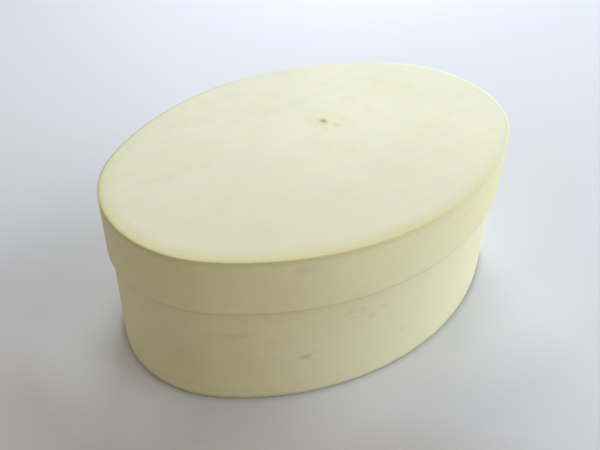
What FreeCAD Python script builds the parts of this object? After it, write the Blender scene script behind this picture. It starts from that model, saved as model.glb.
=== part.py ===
import FreeCAD, Part
import Sketcher
import math
import os

# Oval bentwood box with a deep lift-off lid.
# The long axis is X, the width is Y and up is Z. The origin is the centre of
# the base, on the plane that the box stands on. Sizes are millimetres.

SIZES = [
    ("lid_length", 210.0, "length over the lid band"),
    ("lid_width", 146.0, "width over the lid band"),
    ("end_radius", 56.0, "radius of the oval's two ends, at the lid band"),
    ("box_height", 85.5, "height with the lid on"),
    ("lid_depth", 28.5, "height of the lid"),
    ("band_wall", 1.6, "thickness of both bent bands"),
    ("lid_play", 0.3, "gap between the lid band and the body band"),
    ("board_gap", 0.04, "glue line between a board and its band"),
    ("lid_board_thick", 4.5, "thickness of the lid board"),
    ("base_board_thick", 5.0, "thickness of the base board"),
    ("lap_shift_x", 1.2, "how far the lapped layer's oval moves along the box"),
    ("lap_shift_y", 0.6, "how far the lapped layer's oval moves outwards"),
    ("lap_feather_x", -78.0, "where the lapped layer has run out into the band"),
    ("finger_root_x", -4.0, "where the fingers start"),
    ("finger_long", 34.0, "length of a finger"),
    ("finger_tip_half", 3.2, "half the width of a finger at its tip"),
    ("finger_count", 3, "fingers on the body band"),
    ("finger_gap", 0.6, "gap between two fingers at their roots"),
    ("relief_past_tip", 4.0, "how far the lid's inner relief passes the finger tips"),
    ("tack_head_radius", 1.6, "radius of a tack's head"),
    ("tack_head_thick", 0.5, "depth of a tack's head in the band"),
    ("tack_shank_radius", 0.7, "radius of a tack's square shank, over its corners"),
    ("tack_shank_sides", 4, "sides of a tack's shank"),
    ("tack_from_root", 4.0, "distance of a root tack behind the finger roots"),
    ("tack_from_tip", 7.0, "distance of a tip tack behind the finger tip"),
    ("peg_radius", 0.85, "radius of a wooden peg, over its corners"),
    ("peg_sides", 8, "sides that a peg is whittled to"),
    ("peg_long", 9.0, "length of a peg from the band's face inwards"),
    ("side_peg_deg", 27.0, "degrees between the three pegs of a long side"),
    ("end_peg_deg", 52.0, "degrees between the two pegs of an end"),
    ("trim_over", 4.0, "extra length on what is trimmed flush"),
]

doc = FreeCAD.newDocument("OvalBox")
sheet = doc.addObject("Spreadsheet::Sheet", "Sizes")
for row, (alias, value, note) in enumerate(SIZES, start=1):
    sheet.set("A%d" % row, note)
    sheet.set("B%d" % row, str(value))
    sheet.setAlias("B%d" % row, alias)
doc.recompute()


def number(alias):
    """Value held in the sheet, for counts and for a drawing's first guess."""
    return float(sheet.get(alias))


# Every oval lies a fixed distance inside the lid's outside.
LID_OUT = "0"
LID_IN = "Sizes.band_wall"
BODY_OUT = "(Sizes.band_wall + Sizes.lid_play)"
BODY_IN = "(2 * Sizes.band_wall + Sizes.lid_play)"

# An oval is four arcs that meet without a corner. The end arcs have their
# centres on the long axis, and the side arcs on the short axis, past the
# middle. The centres are the same for every inset.
END_CENTRE = "(Sizes.lid_length / 2 - Sizes.end_radius)"
SIDE_CENTRE = ("((Sizes.lid_length - Sizes.lid_width)"
               " * (Sizes.lid_length + Sizes.lid_width - 4 * Sizes.end_radius)"
               " / (4 * (Sizes.lid_width - 2 * Sizes.end_radius)))")
SIDE_RADIUS = "(Sizes.lid_width / 2 + %s)" % SIDE_CENTRE

RIM_Z = "(Sizes.box_height - Sizes.lid_board_thick)"
SKIRT_Z = "(Sizes.box_height - Sizes.lid_depth)"
SKIRT_TALL = "(Sizes.lid_depth - Sizes.lid_board_thick)"
TIP_X = "(Sizes.finger_root_x + Sizes.finger_long)"
ROOT_TACK_X = "(Sizes.finger_root_x - Sizes.tack_from_root)"
TIP_TACK_X = "(%s - Sizes.tack_from_tip)" % TIP_X
BACK_REACH = "(Sizes.lid_width / 2 + Sizes.trim_over)"
LAP_SHIFT = ("Sizes.lap_shift_x", "Sizes.lap_shift_y")
NO_SHIFT = ("0", "0")


def bind(item, links):
    """Tie properties of an object to the sheet."""
    for name, text in links.items():
        item.setExpression(name, text)
    return item


def draw_oval(plan):
    """Four arcs from the sheet's present sizes, right end first, anticlockwise."""
    end_x = number("lid_length") / 2 - number("end_radius")
    spare = number("lid_length") + number("lid_width") - 4 * number("end_radius")
    side_y = ((number("lid_length") - number("lid_width")) * spare
              / (4 * (number("lid_width") - 2 * number("end_radius"))))
    side_radius = number("lid_width") / 2 + side_y
    joint = math.atan2(side_y, end_x)
    turns = [
        (end_x, 0, number("end_radius"), -joint, joint),
        (0, -side_y, side_radius, joint, math.pi - joint),
        (-end_x, 0, number("end_radius"), math.pi - joint, math.pi + joint),
        (0, side_y, side_radius, math.pi + joint, 2 * math.pi - joint),
    ]
    for x, y, radius, start, stop in turns:
        circle = Part.Circle(FreeCAD.Vector(x, y, 0), FreeCAD.Vector(0, 0, 1), radius)
        plan.addGeometry(Part.ArcOfCircle(circle, start, stop), False)
    return end_x, side_y


def oval(name, inset, low, tall, shift=NO_SHIFT):
    """Solid upright oval, inset from the lid's outside, tall from the height low."""
    plan = doc.addObject("Sketcher::SketchObject", name + "_plan")
    end_x, side_y = draw_oval(plan)
    right, back, left, front = range(4)
    start, stop, centre = 1, 2, 3
    x_axis, y_axis = -1, -2
    plan.addConstraint([
        Sketcher.Constraint("Tangent", right, stop, back, start),
        Sketcher.Constraint("Coincident", back, stop, left, start),
        Sketcher.Constraint("Coincident", left, stop, front, start),
        Sketcher.Constraint("Coincident", front, stop, right, start),
        Sketcher.Constraint("Symmetric", right, stop, back, stop, y_axis),
        Sketcher.Constraint("Symmetric", right, stop, front, stop, x_axis),
        Sketcher.Constraint("Symmetric", back, stop, front, start, x_axis),
        Sketcher.Constraint("Equal", right, left),
        Sketcher.Constraint("Equal", back, front),
    ])
    sizes = (
        ("end_radius", Sketcher.Constraint("Radius", right, number("end_radius")),
         "Sizes.end_radius - %s" % inset),
        ("end_centre", Sketcher.Constraint("DistanceX", x_axis, start, right, centre, end_x), END_CENTRE),
        ("side_centre", Sketcher.Constraint("DistanceY", back, centre, x_axis, start, side_y), SIDE_CENTRE),
    )
    for label, constraint, text in sizes:
        plan.renameConstraint(plan.addConstraint(constraint), label)
        plan.setExpression("Constraints." + label, text)
    bind(plan, {"Placement.Base.x": shift[0], "Placement.Base.y": shift[1], "Placement.Base.z": low})
    block = doc.addObject("Part::Extrusion", name)
    block.Base = plan
    block.DirMode = "Custom"
    block.Dir = FreeCAD.Vector(0, 0, 1)
    block.Solid = True
    return bind(block, {"LengthFwd": tall})


def joined(kind, name, first, second):
    """Boolean of two objects."""
    item = doc.addObject(kind, name)
    item.Base = first
    item.Tool = second
    return item


def cut(name, base, tool):
    return joined("Part::Cut", name, base, tool)


def fuse(name, base, tool):
    return joined("Part::Fuse", name, base, tool)


def common(name, base, tool):
    return joined("Part::Common", name, base, tool)


def group(name, items):
    """Several separate solids under one name."""
    item = doc.addObject("Part::Compound", name)
    item.Links = items
    return item


def back_block(name, low_x, high_x, low_z, tall):
    """Block behind the long axis, used to pick out a stretch of the back."""
    block = doc.addObject("Part::Box", name)
    return bind(block, {"Length": "%s - %s" % (high_x, low_x), "Width": BACK_REACH,
                        "Height": tall, "Placement.Base.x": low_x, "Placement.Base.z": low_z})


def finger(name, middle_z, root_half):
    """Swallowtail finger: two arcs that close in from its root to its tip."""
    narrowing = "(%s - Sizes.finger_tip_half)" % root_half
    radius = "((pow(Sizes.finger_long; 2) + pow(%s; 2)) / (2 * %s))" % (narrowing, narrowing)
    arcs = []
    for side, sign in (("upper", -1), ("lower", 1)):
        arc = doc.addObject("Part::Cylinder", "%s_%s" % (name, side))
        centre_z = "%s + %d * (%s - %s)" % (middle_z, sign, radius, root_half)
        spot = "vector(Sizes.finger_root_x; 0; %s)" % centre_z
        bind(arc, {"Radius": radius, "Height": BACK_REACH,
                   "Placement": "placement(%s; rotation(vector(1; 0; 0); -90))" % spot})
        arcs.append(arc)
    lens = common(name + "_lens", arcs[0], arcs[1])
    reach = back_block(name + "_reach", "(Sizes.finger_root_x - Sizes.trim_over)", TIP_X,
                       "(%s - %s)" % (middle_z, root_half), "(2 * %s)" % root_half)
    return common(name, lens, reach)


def lapped_layer(name, inset, low, tall, fingers):
    """Outer layer of the lap: a shifted oval, kept at the back, ending in fingers."""
    pitch = "(%s / %d)" % (tall, fingers)
    root_half = "(%s / 2 - Sizes.finger_gap / 2)" % pitch
    pieces = [back_block(name + "_sheet", "Sizes.lap_feather_x", "Sizes.finger_root_x", low, tall)]
    for index in range(fingers):
        middle_z = "(%s + (%d + 0.5) * %s)" % (low, index, pitch)
        pieces.append(finger("%s_finger%d" % (name, index + 1), middle_z, root_half))
    mask = doc.addObject("Part::MultiFuse", name + "_mask")
    mask.Shapes = pieces
    return common(name, oval(name + "_oval", inset, low, tall, LAP_SHIFT), mask)


def nail(name, sides, radius, depth, centre, reach_x, reach_y, z):
    """Pin square to an arc, round if sides is 0: depth inwards from the arc, and past it."""
    foot = "vector(%s + %s; %s + %s; %s)" % (centre[0], reach_x, centre[1], reach_y, z)
    turn = "rotation(vector(-(%s); %s; 0); 90)" % (reach_y, reach_x)
    sink = "placement(vector(0; 0; -(%s)); rotation(vector(0; 0; 1); 0))" % depth
    if sides:
        pin = doc.addObject("Part::Prism", name)
        pin.Polygon = sides
        bind(pin, {"Circumradius": radius})
    else:
        pin = doc.addObject("Part::Cylinder", name)
        bind(pin, {"Radius": radius})
    return bind(pin, {"Height": "%s + Sizes.trim_over" % depth,
                      "Placement": "placement(%s; %s) * %s" % (foot, turn, sink)})


def tack_set(name, inset, low, tall, fingers):
    """Two tacks to each finger, one behind its root and one behind its tip."""
    centre = ("Sizes.lap_shift_x", "(Sizes.lap_shift_y - %s)" % SIDE_CENTRE)
    items = []
    for index in range(fingers):
        z = "(%s + (%d + 0.5) * %s / %d)" % (low, index, tall, fingers)
        for place, x in (("root", ROOT_TACK_X), ("tip", TIP_TACK_X)):
            across = "(%s - Sizes.lap_shift_x)" % x
            out = "sqrt(pow(%s - %s; 2) - pow(%s; 2))" % (SIDE_RADIUS, inset, across)
            label = "%s_%s%d" % (name, place, index + 1)
            head = nail(label + "_head", 0, "Sizes.tack_head_radius", "Sizes.tack_head_thick",
                        centre, across, out, z)
            shank = nail(label + "_shank", int(number("tack_shank_sides")),
                         "Sizes.tack_shank_radius", "Sizes.trim_over", centre, across, out, z)
            items.append(fuse(label, head, shank))
    return group(name, items)


def peg_set(name, inset, z):
    """Pegs through the band into the board's edge: three to a side, two to an end."""
    side = "(%s - %s)" % (SIDE_RADIUS, inset)
    end = "(Sizes.end_radius - %s)" % inset
    turns = []
    for sign, middle in ((-1, 90), (1, 270)):
        for step in (-1, 0, 1):
            angle = "(%d + %d * Sizes.side_peg_deg)" % (middle, step)
            turns.append((("0", "%d * %s" % (sign, SIDE_CENTRE)), side, angle))
    for sign, middle in ((1, 0), (-1, 180)):
        for step in (-0.5, 0.5):
            angle = "(%d + %.1f * Sizes.end_peg_deg)" % (middle, step)
            turns.append((("%d * %s" % (sign, END_CENTRE), "0"), end, angle))
    items = []
    for index, (centre, radius, angle) in enumerate(turns, start=1):
        items.append(nail("%s_%d" % (name, index), int(number("peg_sides")), "Sizes.peg_radius",
                          "Sizes.peg_long", centre, "%s * cos(%s)" % (radius, angle),
                          "%s * sin(%s)" % (radius, angle), z))
    return group(name, items)


# Body: the base board stands inside the bent band, flush with its lower edge.
BODY_FINGERS = int(number("finger_count"))
body_outer = oval("body_outer", BODY_OUT, "0", RIM_Z)
body_layer = lapped_layer("body_lap", BODY_OUT, "0", RIM_Z, BODY_FINGERS)
body_skin = fuse("body_skin", body_outer, body_layer)
body_hollow = oval("body_hollow", BODY_IN, "-Sizes.trim_over", RIM_Z + " + 2 * Sizes.trim_over")
body_ring = cut("body_ring", body_skin, body_hollow)
base_pegs_long = peg_set("base_peg", BODY_OUT, "(Sizes.base_board_thick / 2)")
body_tacks_long = tack_set("body_tack", BODY_OUT, "0", RIM_Z, BODY_FINGERS)
body_pegged = cut("body_pegged", body_skin, base_pegs_long)
body_drilled = cut("body_drilled", body_pegged, body_tacks_long)
body_band = cut("body_band", body_drilled, body_hollow)
base_blank = oval("base_blank", "(%s + Sizes.board_gap)" % BODY_IN, "0", "Sizes.base_board_thick")
base_board = cut("base_board", base_blank, base_pegs_long)
base_pegs = common("base_pegs", base_pegs_long, body_skin)
body_tacks = common("body_tacks", body_tacks_long, body_ring)

# Lid: the board fills the top of its band and rests on the body band's rim.
# Inside, the band is relieved where it passes over the body's lap.
UNDER_LID = "(%s - Sizes.trim_over)" % SKIRT_Z
lid_outer = oval("lid_outer", LID_OUT, SKIRT_Z, "Sizes.lid_depth")
lid_layer = lapped_layer("lid_lap", LID_OUT, SKIRT_Z, "Sizes.lid_depth", 1)
lid_skin = fuse("lid_skin", lid_outer, lid_layer)
lid_hollow = oval("lid_hollow", LID_IN, UNDER_LID, "Sizes.lid_depth + 2 * Sizes.trim_over")
relief_oval = oval("relief_oval", LID_IN, UNDER_LID, SKIRT_TALL + " + Sizes.trim_over", LAP_SHIFT)
relief_reach = back_block("relief_reach", "Sizes.lap_feather_x", "(%s + Sizes.relief_past_tip)" % TIP_X,
                          UNDER_LID, SKIRT_TALL + " + Sizes.trim_over")
lid_relief = common("lid_relief", relief_oval, relief_reach)
lid_pegs_long = peg_set("lid_peg", LID_OUT, "(Sizes.box_height - Sizes.lid_board_thick / 2)")
lid_tacks_long = tack_set("lid_tack", LID_OUT, SKIRT_Z, "Sizes.lid_depth", 1)
lid_ring = cut("lid_ring", lid_skin, lid_hollow)
lid_bent = cut("lid_bent", lid_ring, lid_relief)
lid_pegged = cut("lid_pegged", lid_skin, lid_pegs_long)
lid_drilled = cut("lid_drilled", lid_pegged, lid_tacks_long)
lid_open = cut("lid_open", lid_drilled, lid_hollow)
lid_band = cut("lid_band", lid_open, lid_relief)
lid_blank = oval("lid_blank", "(%s + Sizes.board_gap)" % LID_IN, RIM_Z, "Sizes.lid_board_thick")
lid_board = cut("lid_board", lid_blank, lid_pegs_long)
lid_pegs = common("lid_pegs", lid_pegs_long, lid_skin)
lid_tacks = common("lid_tacks", lid_tacks_long, lid_bent)

doc.recompute()

NODES = [body_band, base_board, base_pegs, body_tacks, lid_band, lid_board, lid_pegs, lid_tacks]

for item in doc.Objects:
    bad = [state for state in item.State if state in ("Invalid", "Error")]
    if bad:
        raise RuntimeError("%s did not compute: %s" % (item.Name, bad))
for item in NODES:
    if item.Shape.isNull() or not item.Shape.isValid():
        raise RuntimeError("%s has no valid shape" % item.Name)

os.makedirs("parts", exist_ok=True)
for item in NODES:
    item.Label = item.Name
    item.Shape.exportStep("parts/%s.step" % item.Label)
    print("%-11s %3d solids %9.1f mm3" % (item.Label, len(item.Shape.Solids), item.Shape.Volume))
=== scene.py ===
import math

import bpy
from mathutils import Matrix, Vector


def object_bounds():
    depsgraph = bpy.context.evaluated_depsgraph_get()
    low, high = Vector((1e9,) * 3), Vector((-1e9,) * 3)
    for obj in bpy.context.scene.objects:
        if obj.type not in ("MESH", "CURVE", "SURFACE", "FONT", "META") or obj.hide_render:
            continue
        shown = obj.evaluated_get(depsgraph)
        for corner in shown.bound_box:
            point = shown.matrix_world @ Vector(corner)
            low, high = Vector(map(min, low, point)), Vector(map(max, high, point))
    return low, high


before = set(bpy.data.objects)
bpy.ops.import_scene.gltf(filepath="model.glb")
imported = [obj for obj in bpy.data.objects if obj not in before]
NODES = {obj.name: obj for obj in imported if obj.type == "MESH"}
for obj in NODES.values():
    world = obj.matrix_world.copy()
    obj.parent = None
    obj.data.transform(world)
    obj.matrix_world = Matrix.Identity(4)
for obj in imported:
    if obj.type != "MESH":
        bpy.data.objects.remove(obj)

# Dress of the oval box: pale bare wood on the bands and boards, the small
# knot on the lid, soft daylight and a pale sheet of paper. Metres throughout.

cad_low, cad_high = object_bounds()

MM = 0.001
HEIGHT = cad_high[2]
MIDDLE = Vector((0, 0, HEIGHT / 2))

# The lid's outline from above: four arcs, the ends' centres on the long axis
# and the sides' centres on the short axis. The lap adds to the back only.
HALF_LONG = cad_high[0]
HALF_WIDE = -cad_low[1]
END_RADIUS = 56.0 * MM
END_CENTRE = HALF_LONG - END_RADIUS
SIDE_CENTRE = ((HALF_LONG - HALF_WIDE) * (HALF_LONG + HALF_WIDE - 2 * END_RADIUS)
               / (2 * (HALF_WIDE - END_RADIUS)))
SIDE_RADIUS = HALF_WIDE + SIDE_CENTRE

# The camera that the outline of the box was matched with. The optical centre
# lies a little off the middle of the picture, which was cropped.
IMAGE_WIDE = 600
IMAGE_HIGH = 450
CAMERA_TURN = math.radians(-36.44)
CAMERA_LIFT = math.radians(38.96)
CAMERA_ROLL = math.radians(2.43)
CAMERA_AWAY = 0.3889
CAMERA_NEAR = 10.0 * MM
FOCAL_PIXELS = 765.3
CENTRE_PIXEL = (314.5, 214.8)
SENSOR_WIDE = 36.0


def add_camera():
    level = math.cos(CAMERA_LIFT)
    back = Vector((math.sin(CAMERA_TURN) * level, -math.cos(CAMERA_TURN) * level,
                   math.sin(CAMERA_LIFT)))
    right = Vector((0, 0, 1)).cross(back).normalized()
    up = back.cross(right)
    rolled_right = math.cos(CAMERA_ROLL) * right + math.sin(CAMERA_ROLL) * up
    rolled_up = -math.sin(CAMERA_ROLL) * right + math.cos(CAMERA_ROLL) * up
    data = bpy.data.cameras.new("camera")
    data.sensor_width = SENSOR_WIDE
    data.lens = FOCAL_PIXELS / IMAGE_WIDE * SENSOR_WIDE
    data.shift_x = (IMAGE_WIDE / 2 - CENTRE_PIXEL[0]) / IMAGE_WIDE
    data.shift_y = (CENTRE_PIXEL[1] - IMAGE_HIGH / 2) / IMAGE_WIDE
    data.clip_start = CAMERA_NEAR
    camera = bpy.data.objects.new("camera", data)
    axes = Matrix((rolled_right, rolled_up, back)).transposed()
    camera.matrix_world = Matrix.Translation(MIDDLE + back * CAMERA_AWAY) @ axes.to_4x4()
    bpy.context.scene.collection.objects.link(camera)
    bpy.context.scene.camera = camera


class Nodes:
    """Short calls for building one material's node tree."""

    # The Mix node has sockets of its own for each kind of data: the places of
    # its two values and of its result.
    MIX_SOCKETS = {"FLOAT": (2, 3, 0), "RGBA": (6, 7, 2)}
    SPAN_SOCKETS = ("Value", "From Min", "From Max", "To Min", "To Max")

    def __init__(self, material):
        material.use_nodes = True
        self.tree = material.node_tree
        self.tree.nodes.clear()

    def add(self, kind, **settings):
        node = self.tree.nodes.new(kind)
        for name, value in settings.items():
            setattr(node, name, value)
        return node

    def join(self, source, target):
        self.tree.links.new(source, target)

    def set(self, socket, value):
        """Give a socket a number, a vector, a colour, or the output of another node."""
        if isinstance(value, bpy.types.NodeSocket):
            self.join(value, socket)
        elif socket.type == "RGBA":
            socket.default_value = (*value, 1)
        else:
            socket.default_value = value

    def position(self):
        return self.add("ShaderNodeTexCoord").outputs["Object"]

    def xyz(self):
        split = self.add("ShaderNodeSeparateXYZ")
        self.join(self.position(), split.inputs[0])
        return split.outputs

    def place(self, scale=(1, 1, 1), offset=(0, 0, 0)):
        """Position for a pattern: along an axis, a small scale draws it out."""
        mapping = self.add("ShaderNodeMapping")
        self.join(self.position(), mapping.inputs["Vector"])
        self.set(mapping.inputs["Scale"], scale)
        self.set(mapping.inputs["Location"], offset)
        return mapping.outputs["Vector"]

    def noise(self, vector, scale, detail, rough=0.55):
        node = self.add("ShaderNodeTexNoise")
        self.join(vector, node.inputs["Vector"])
        self.set(node.inputs["Scale"], scale)
        self.set(node.inputs["Detail"], detail)
        self.set(node.inputs["Roughness"], rough)
        return node.outputs[0]

    def calc(self, operation, *values):
        node = self.add("ShaderNodeMath", operation=operation)
        for socket, value in zip(node.inputs, values):
            self.set(socket, value)
        return node.outputs[0]

    def vector(self, operation, *values, output="Vector"):
        node = self.add("ShaderNodeVectorMath", operation=operation)
        for socket, value in zip(node.inputs, values):
            self.set(socket, value)
        return node.outputs[output]

    def span(self, value, low, high, out_low=0.0, out_high=1.0):
        """Map low..high of a value to out_low..out_high, held at both ends."""
        node = self.add("ShaderNodeMapRange", clamp=True)
        for name, given in zip(self.SPAN_SOCKETS, (value, low, high, out_low, out_high)):
            self.set(node.inputs[name], given)
        return node.outputs["Result"]

    def blend(self, share, first, second, kind="RGBA"):
        node = self.add("ShaderNodeMix", data_type=kind)
        first_place, second_place, result = self.MIX_SOCKETS[kind]
        self.set(node.inputs[0], share)
        self.set(node.inputs[first_place], first)
        self.set(node.inputs[second_place], second)
        return node.outputs[result]

    def spot(self, centre, radii, soft):
        """1 inside an ellipsoid and 0 outside, blurred by a share of its radii."""
        from_centre = self.vector("SUBTRACT", self.position(), centre)
        in_radii = self.vector("DIVIDE", from_centre, radii)
        distance = self.vector("LENGTH", in_radii, output="Value")
        return self.span(distance, 1.0 - soft, 1.0 + soft, 1.0, 0.0)

    def marked(self, color, marks):
        """Lay soft marks over a colour, one after the other."""
        for centre, radii, soft, tone, strength in marks:
            share = self.calc("MULTIPLY", self.spot(centre, radii, soft), strength)
            color = self.blend(share, color, tone)
        return color

    def length(self, first, second):
        squares = self.calc("ADD", self.calc("POWER", first, 2.0), self.calc("POWER", second, 2.0))
        return self.calc("SQRT", squares)

    def inside(self):
        """Distance of a point inside the lid's outline, seen from above."""
        x, y, _ = self.xyz()
        along, across = self.calc("ABSOLUTE", x), self.calc("ABSOLUTE", y)
        past_end = self.calc("SUBTRACT", along, END_CENTRE)
        from_end = self.calc("SUBTRACT", END_RADIUS, self.length(past_end, across))
        past_side = self.calc("ADD", across, SIDE_CENTRE)
        from_side = self.calc("SUBTRACT", SIDE_RADIUS, self.length(along, past_side))
        slope = self.calc("MULTIPLY", past_end, SIDE_CENTRE / END_CENTRE)
        at_end = self.calc("GREATER_THAN", slope, across)
        return self.blend(at_end, from_side, from_end, kind="FLOAT")

    def rounded(self, height, distance, radius):
        """Height that falls off towards an edge, from radius away."""
        short = self.span(distance, 0.0, radius, radius, 0.0)
        drop = self.calc("DIVIDE", self.calc("POWER", short, 2.0), ROUND_DROP * radius)
        return self.calc("SUBTRACT", height, drop)

    def finish(self, color, rough, height, depth, bevel):
        """Surface with a bump of the given depth and softly rounded edges."""
        shader = self.add("ShaderNodeBsdfPrincipled")
        self.set(shader.inputs["Base Color"], color)
        self.set(shader.inputs["Roughness"], rough)
        bump = self.add("ShaderNodeBump")
        self.set(bump.inputs["Strength"], 1.0)
        self.set(bump.inputs["Distance"], depth)
        self.join(height, bump.inputs["Height"])
        if bevel:
            edge = self.add("ShaderNodeBevel", samples=6)
            self.set(edge.inputs["Radius"], bevel)
            self.join(edge.outputs[0], bump.inputs["Normal"])
        self.join(bump.outputs[0], shader.inputs["Normal"])
        out = self.add("ShaderNodeOutputMaterial")
        self.join(shader.outputs[0], out.inputs["Surface"])
        return shader


# Tones of the bare wood, and of what marks it, with the painted shade at the rim and the foot.
PALE = (0.785, 0.745, 0.432)
CREAM = (0.790, 0.795, 0.640)
STRAW = (0.740, 0.680, 0.400)
FAINT = (0.660, 0.590, 0.380)
ROSE = (0.700, 0.590, 0.420)
OLIVE = (0.640, 0.610, 0.300)
SCUFF = (0.600, 0.540, 0.340)
HANDLED_AND_SHADED = (0.680, 0.625, 0.285)
FOOT_SHADE_AND_GRIME = (0.300, 0.255, 0.170)
KNOT = (0.230, 0.200, 0.090)

# Layers of noise in the wood. Scales are per metre. A tint is the range of the
# noise that it comes in over, and its share of the colour at both ends.
BAND_GRAIN = (6, 6, 420)
BOARD_GRAIN = (8, 160, 40)
PEG_GRAIN = (300, 300, 300)
GRAIN_DETAIL = 6.0
GRAIN_BREAKUP = 0.6
GRAIN_TINT = (0.35, 0.70, 0.0, 0.50)
PATCH_SCALE = 18.0
PATCH_TINT = (0.35, 0.75, 0.0, 0.30)
BLOTCH_SCALE = 95.0
BLOTCH_TINT = (0.50, 0.75, 0.0, 0.22)
PORE_SCALE = 1400.0
PORE_TINT = (0.60, 0.75, 0.0, 0.16)
WOOD_ROUGH = (0.30, 0.70, 0.62, 0.78)
GRAIN_RELIEF = 0.07 * MM
PORE_RELIEF = 0.03 * MM

# Edges. The lid's rim, its skirt and the foot of the box are rounded by their
# distance from the edge. A bevel rounds the rest, and is held back at the rim.
# A rounded edge drops by its radius over ROUND_DROP, 30 degrees at the edge.
ROUND_DROP = 3.5
SKIRT_Z = HEIGHT - 28.5 * MM
RIM_ROUND = 1.2 * MM
EDGE_ROUND = 0.3 * MM
FOOT_ROUND = 0.6 * MM
PEG_ROUND = 0.1 * MM
BEVEL_STARTS = 2.0 * MM
BEVEL_FULL = 4.0 * MM

# Wear and painted shade. The rim is yellowed by hands and darkened as painted shade, most where
# x plus a share of y is lowest, which is the near left, where the rim falls into shade. Ranges
# are as for the tints.
RIM_WEAR_AND_SHADE = 8.0 * MM
LEFT_SHARE_OF_Y = 1.3
LEFT_WEAR_AND_SHADE = (-0.100, 0.020, 0.80, 0.05)
TOP_WEAR_AND_SHADE = (0.5 * MM, 3.0 * MM, 1.0, 0.0)
# The foot is darkened within 2.2 mm of the floor as painted contact shade, patchy like grime.
FOOT_SHADE_AND_WEAR = (0.0, 2.2 * MM, 0.6, 0.0)
FOOT_PATCHY = (0.30, 0.70, 0.6, 1.0)


# Yellow the rim as by handling, and darken it as painted shade, most at the near left.
def wear_and_shade_rim(n, color, inside, below):
    x, y, _ = n.xyz()
    at_rim = n.span(inside, 0.0, RIM_WEAR_AND_SHADE, 1.0, 0.0)
    at_left = n.span(n.calc("MULTIPLY_ADD", y, LEFT_SHARE_OF_Y, x), *LEFT_WEAR_AND_SHADE)
    at_top = n.span(below, *TOP_WEAR_AND_SHADE)
    share = n.calc("MULTIPLY", n.calc("MULTIPLY", at_rim, at_left), at_top)
    return n.blend(share, color, HANDLED_AND_SHADED)


def round_rim(n, height, z, inside, below):
    """Round the lid's rim, and more finely the lower edge of its skirt."""
    height = n.rounded(height, inside, RIM_ROUND)
    height = n.rounded(height, below, RIM_ROUND)
    return n.rounded(height, n.calc("SUBTRACT", z, SKIRT_Z), EDGE_ROUND)


# Darken the foot as painted contact shade, patchy like grime.
def shade_and_soil_foot(n, color, z, blotches):
    share = n.calc("MULTIPLY", n.span(z, *FOOT_SHADE_AND_WEAR), n.span(blotches, *FOOT_PATCHY))
    return n.blend(share, color, FOOT_SHADE_AND_GRIME)


def wood(name, grain_scale, light, dark, seed, marks=(), rim=False, foot=False, edge=EDGE_ROUND):
    """Bare pale wood: faint long grain, patches, blotches, pores and marks."""
    material = bpy.data.materials.new(name)
    n = Nodes(material)
    z = n.xyz()[2]
    here = n.place(offset=seed)
    grain = n.noise(n.place(grain_scale, seed), 1.0, GRAIN_DETAIL, GRAIN_BREAKUP)
    patches = n.noise(here, PATCH_SCALE, detail=2.0)
    blotches = n.noise(here, BLOTCH_SCALE, detail=3.0)
    pores = n.noise(here, PORE_SCALE, detail=2.0)
    color = n.blend(n.span(grain, *GRAIN_TINT), light, dark)
    color = n.blend(n.span(patches, *PATCH_TINT), color, CREAM)
    color = n.blend(n.span(blotches, *BLOTCH_TINT), color, ROSE)
    color = n.blend(n.span(pores, *PORE_TINT), color, FAINT)
    color = n.marked(color, marks)
    rough = n.span(patches, *WOOD_ROUGH)
    height = n.calc("ADD", n.calc("MULTIPLY", grain, GRAIN_RELIEF),
                    n.calc("MULTIPLY", pores, PORE_RELIEF))
    if rim:
        inside = n.inside()
        below = n.calc("SUBTRACT", HEIGHT, z)
        # The rim gets handling wear and painted shade at the near left.
        color = wear_and_shade_rim(n, color, inside, below)
        height = round_rim(n, height, z, inside, below)
        if edge:
            edge = n.span(below, BEVEL_STARTS, BEVEL_FULL, 0.0, edge)
    if foot:
        # The foot gets painted contact shade, patchy like grime.
        color = shade_and_soil_foot(n, color, z, blotches)
        height = n.rounded(height, z, FOOT_ROUND)
    n.finish(color, rough, height, 1.0, edge)
    return material


COPPER = (0.62, 0.33, 0.20)
TARNISH = (0.30, 0.14, 0.08)
DENT_SCALE = 900.0
DENT_DEPTH = 0.06 * MM
STAIN_SCALE = 260.0
STAIN_TINT = (0.40, 0.70, 0.0, 1.0)
COPPER_ROUGH = (0.30, 0.70, 0.32, 0.55)
COPPER_METALLIC = 0.9
TACK_ROUND = 0.2 * MM


def copper(name, seed):
    """Dull copper with small dents and dark stains."""
    material = bpy.data.materials.new(name)
    n = Nodes(material)
    here = n.place(offset=seed)
    dents = n.noise(here, DENT_SCALE, detail=2.0)
    stain = n.noise(here, STAIN_SCALE, detail=3.0)
    color = n.blend(n.span(stain, *STAIN_TINT), COPPER, TARNISH)
    shader = n.finish(color, n.span(stain, *COPPER_ROUGH), dents, DENT_DEPTH, TACK_ROUND)
    n.set(shader.inputs["Metallic"], COPPER_METALLIC)
    return material


def paint(material, *nodes):
    for node in nodes:
        data = NODES[node].data
        data.materials.clear()
        data.materials.append(material)
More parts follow.
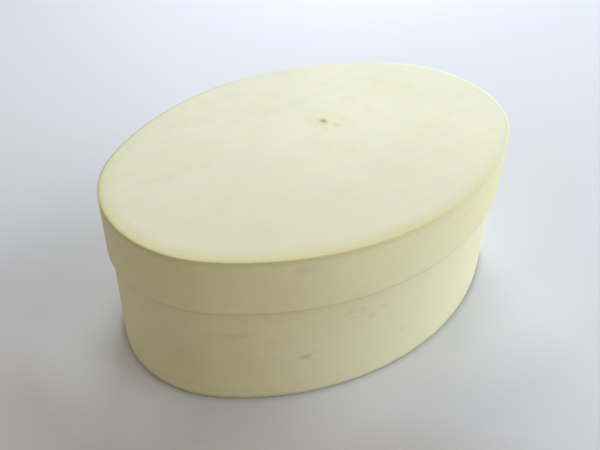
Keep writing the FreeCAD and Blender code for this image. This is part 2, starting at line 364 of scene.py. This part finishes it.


# Marks: centre, radii, softness, tone, strength. The first in each list are broad changes of tone,
# and the smaller ones are stains; the first on the lid is painted shade, the first on the body
# painted light, and a small pale one on the body a painted highlight. The knot lies on the
# lid right of its middle, with a straw-coloured patch round it.
LID_MARKS_AND_SHADE = [
    # Painted shade: the top darker and yellower towards the near left, where the light falls off.
    ((-0.0450, -0.0500, HEIGHT), (0.0900, 0.0450, 0.020), 0.9, (0.740, 0.720, 0.500), 0.60),
    ((-0.0575, 0.0307, HEIGHT), (0.0140, 0.0100, 0.020), 0.9, (0.810, 0.740, 0.540), 0.30),
    ((-0.0082, 0.0243, HEIGHT), (0.0120, 0.0080, 0.020), 0.9, (0.830, 0.760, 0.560), 0.30),
    ((-0.0248, 0.0054, HEIGHT), (0.0130, 0.0080, 0.020), 0.9, (0.800, 0.740, 0.600), 0.25),
    ((0.0180, 0.0130, HEIGHT), (0.0110, 0.0085, 0.002), 0.8, (0.790, 0.740, 0.440), 0.42),
    ((0.0110, 0.0165, HEIGHT), (0.0032, 0.0038, 0.002), 0.8, (0.640, 0.680, 0.400), 0.40),
    ((0.0172, 0.0151, HEIGHT), (0.0024, 0.0026, 0.002), 0.8, (0.860, 0.770, 0.480), 0.70),
    ((0.0146, 0.0156, HEIGHT), (0.0019, 0.0023, 0.002), 0.8, (0.420, 0.400, 0.230), 0.55),
    ((0.0146, 0.0156, HEIGHT), (0.0010, 0.0013, 0.002), 0.6, KNOT, 0.75),
    ((0.0178, 0.0093, HEIGHT), (0.0016, 0.0016, 0.002), 0.8, (0.560, 0.540, 0.350), 0.35),
    ((0.0235, 0.0120, HEIGHT), (0.0018, 0.0014, 0.002), 0.8, (0.600, 0.570, 0.380), 0.30),
    ((0.0105, 0.0085, HEIGHT), (0.0016, 0.0018, 0.002), 0.8, (0.600, 0.560, 0.400), 0.25),
]
BODY_MARKS_AND_LIGHT = [
    # Painted light: the body paler and less yellow on its lit right.
    ((0.0750, -0.0450, 0.0300), (0.0500, 0.0500, 0.0600), 0.9, CREAM, 0.30),
    ((-0.0270, -0.0680, 0.0270), (0.0260, 0.0260, 0.0180), 0.9, (0.830, 0.810, 0.640), 0.35),
    ((-0.0870, -0.0385, 0.0300), (0.0200, 0.0200, 0.0150), 0.9, (0.720, 0.650, 0.380), 0.45),
    ((-0.0474, -0.0624, 0.0252), (0.0023, 0.0023, 0.0012), 0.7, SCUFF, 0.75),
    # Painted highlight: a pale spot just right of the scuff above.
    ((-0.0430, -0.0640, 0.0246), (0.0016, 0.0016, 0.0012), 0.8, CREAM, 0.60),
    ((-0.0505, -0.0611, 0.0290), (0.0020, 0.0020, 0.0007), 0.8, SCUFF, 0.25),
    ((-0.0800, -0.0440, 0.0400), (0.0060, 0.0060, 0.0022), 0.9, SCUFF, 0.28),
    ((-0.0745, -0.0485, 0.0420), (0.0050, 0.0050, 0.0012), 0.9, SCUFF, 0.25),
    ((-0.0289, -0.0679, 0.0472), (0.0016, 0.0016, 0.0012), 0.8, OLIVE, 0.40),
    ((-0.0271, -0.0683, 0.0433), (0.0022, 0.0022, 0.0010), 0.8, OLIVE, 0.40),
    ((-0.0224, -0.0692, 0.0467), (0.0018, 0.0018, 0.0014), 0.8, OLIVE, 0.50),
    ((-0.0176, -0.0699, 0.0414), (0.0018, 0.0018, 0.0012), 0.8, OLIVE, 0.45),
    ((-0.0116, -0.0706, 0.0451), (0.0022, 0.0022, 0.0010), 0.8, OLIVE, 0.35),
    ((0.0019, -0.0711, 0.0216), (0.0020, 0.0020, 0.0010), 0.8, SCUFF, 0.25),
]
# The lid band's first mark takes in its whole upper edge.
LID_BAND_MARKS = [
    ((0.0200, 0.0200, HEIGHT), (0.1300, 0.1000, 0.0012), 0.5, CREAM, 0.85),
    ((-0.0800, -0.0460, 0.0720), (0.0300, 0.0300, 0.0160), 0.9, (0.770, 0.720, 0.340), 0.50),
    ((-0.0320, -0.0690, 0.0750), (0.0260, 0.0260, 0.0140), 0.9, (0.900, 0.870, 0.520), 0.45),
    ((-0.0498, -0.0634, 0.0797), (0.0042, 0.0042, 0.0022), 0.8, SCUFF, 0.30),
    ((-0.0519, -0.0626, 0.0691), (0.0100, 0.0100, 0.0040), 0.9, ROSE, 0.20),
]

paint(wood("body_band_wood", BAND_GRAIN, PALE, STRAW, (3.1, 0.2, 0.0), BODY_MARKS_AND_LIGHT, foot=True),
      "body_band")
paint(wood("lid_band_wood", BAND_GRAIN, PALE, STRAW, (8.7, 5.2, 1.3), LID_BAND_MARKS, rim=True),
      "lid_band")
paint(wood("lid_board_wood", BOARD_GRAIN, CREAM, PALE, (1.7, 9.4, 0.6), LID_MARKS_AND_SHADE, rim=True,
           edge=0.0), "lid_board")
paint(wood("base_board_wood", BOARD_GRAIN, PALE, STRAW, (6.2, 2.8, 3.3)), "base_board")
paint(wood("peg_wood", PEG_GRAIN, STRAW, FAINT, (2.0, 4.0, 6.0), edge=PEG_ROUND),
      "base_pegs", "lid_pegs")
paint(copper("tack_copper", (5.0, 1.0, 2.0)), "body_tacks", "lid_tacks")


# Paper under and behind the box, its colour painted with light and shade: lighter to the back as
# painted light, darker and warmer past a slanting line at the near left as painted shadow, with
# soft painted patches of light and shade of its own.
FLOOR_HALF = 1.5
FLOOR_LIT = (0.690, 0.705, 0.765)
FLOOR_SHADED = (0.630, 0.635, 0.675)
FLOOR_CORNER_SHADOW = (0.565, 0.540, 0.515)
BACK_SHARE_OF_X = -0.35
BACK_RANGE = (-0.080, 0.180, 0.0, 1.0)
CORNER_SHARE_OF_Y = 0.9
CORNER_SHADOW_RANGE = (-0.150, -0.100, 1.0, 0.0)
FIBRE_SCALE = 900.0
FIBRE_DEPTH = 0.05 * MM
PAPER_ROUGH = 0.85
# Painted light and shade on the paper: a pale patch lifting the shadow left of the box, a pale
# patch in front of it, a darker patch at the near left and a darker patch far to the right.
FLOOR_LIGHT_AND_SHADE = [
    ((-0.113, 0.000, 0.0), (0.020, 0.030, 1.0), 0.9, (0.840, 0.880, 0.940), 0.80),
    ((0.020, -0.085, 0.0), (0.060, 0.018, 1.0), 0.9, (0.800, 0.810, 0.840), 0.45),
    ((-0.078, -0.063, 0.0), (0.030, 0.020, 1.0), 0.9, (0.500, 0.490, 0.480), 0.45),
    ((0.400, 0.140, 0.0), (0.200, 0.160, 1.0), 0.9, (0.580, 0.590, 0.630), 0.80),
]

# The painted contact shadow, a dark line where the box stands drawn from ambient occlusion: how
# far it reaches, and how dark it gets over a range of the light that reaches the floor.
CONTACT_REACH = 3.5 * MM
CONTACT_RANGE = (0.50, 0.95, 0.28, 0.0)
CONTACT_SHADOW_BLACK = (0.0, 0.0, 0.0)


def paper():
    material = bpy.data.materials.new("paper")
    n = Nodes(material)
    x, y, _ = n.xyz()
    # Painted falloff of light, lighter to the back, and a painted shadow, darker and warmer, at
    # the near left.
    back = n.span(n.calc("MULTIPLY_ADD", x, BACK_SHARE_OF_X, y), *BACK_RANGE)
    corner = n.span(n.calc("MULTIPLY_ADD", y, CORNER_SHARE_OF_Y, x), *CORNER_SHADOW_RANGE)
    color = n.blend(back, FLOOR_SHADED, FLOOR_LIT)
    color = n.blend(corner, color, FLOOR_CORNER_SHADOW)
    color = n.marked(color, FLOOR_LIGHT_AND_SHADE)
    # Painted contact shadow: the floor darkened from ambient occlusion near the box.
    contact_shadow = n.add("ShaderNodeAmbientOcclusion", samples=8)
    n.set(contact_shadow.inputs["Distance"], CONTACT_REACH)
    color = n.blend(n.span(contact_shadow.outputs["AO"], *CONTACT_RANGE), color, CONTACT_SHADOW_BLACK)
    fibre = n.noise(n.place(), FIBRE_SCALE, detail=3.0)
    n.finish(color, PAPER_ROUGH, fibre, FIBRE_DEPTH, 0.0)
    return material


def add_floor():
    mesh = bpy.data.meshes.new("floor")
    corners = [(-FLOOR_HALF, -FLOOR_HALF, 0), (FLOOR_HALF, -FLOOR_HALF, 0),
               (FLOOR_HALF, FLOOR_HALF, 0), (-FLOOR_HALF, FLOOR_HALF, 0)]
    mesh.from_pydata(corners, [], [(0, 1, 2, 3)])
    mesh.materials.append(paper())
    floor = bpy.data.objects.new("floor", mesh)
    bpy.context.scene.collection.objects.link(floor)


# Lights: name, place, size, watts, colour.
LIGHTS = [
    ("window", (0.95, -0.72, 0.60), 1.40, 16.1, (0.91, 1.0, 1.12)),
    ("behind", (0.42, 0.46, 0.50), 0.50, 3.85, (0.92, 1.0, 1.04)),
]
SKY_COLOR = (1.10, 1.0, 0.88)
SKY_STRENGTH = 0.345


def add_light(name, place, size, watts, color):
    """Square soft light aimed at the middle of the box."""
    data = bpy.data.lights.new(name, "AREA")
    data.size = size
    data.energy = watts
    data.color = color
    light = bpy.data.objects.new(name, data)
    light.location = place
    light.rotation_euler = (MIDDLE - Vector(place)).to_track_quat("-Z", "Y").to_euler()
    bpy.context.scene.collection.objects.link(light)


def add_sky():
    world = bpy.data.worlds.new("sky")
    world.use_nodes = True
    back = world.node_tree.nodes["Background"]
    back.inputs["Color"].default_value = (*SKY_COLOR, 1)
    back.inputs["Strength"].default_value = SKY_STRENGTH
    bpy.context.scene.world = world


add_camera()
add_floor()
for light in LIGHTS:
    add_light(*light)
add_sky()
bpy.context.scene.view_settings.view_transform = "Standard"
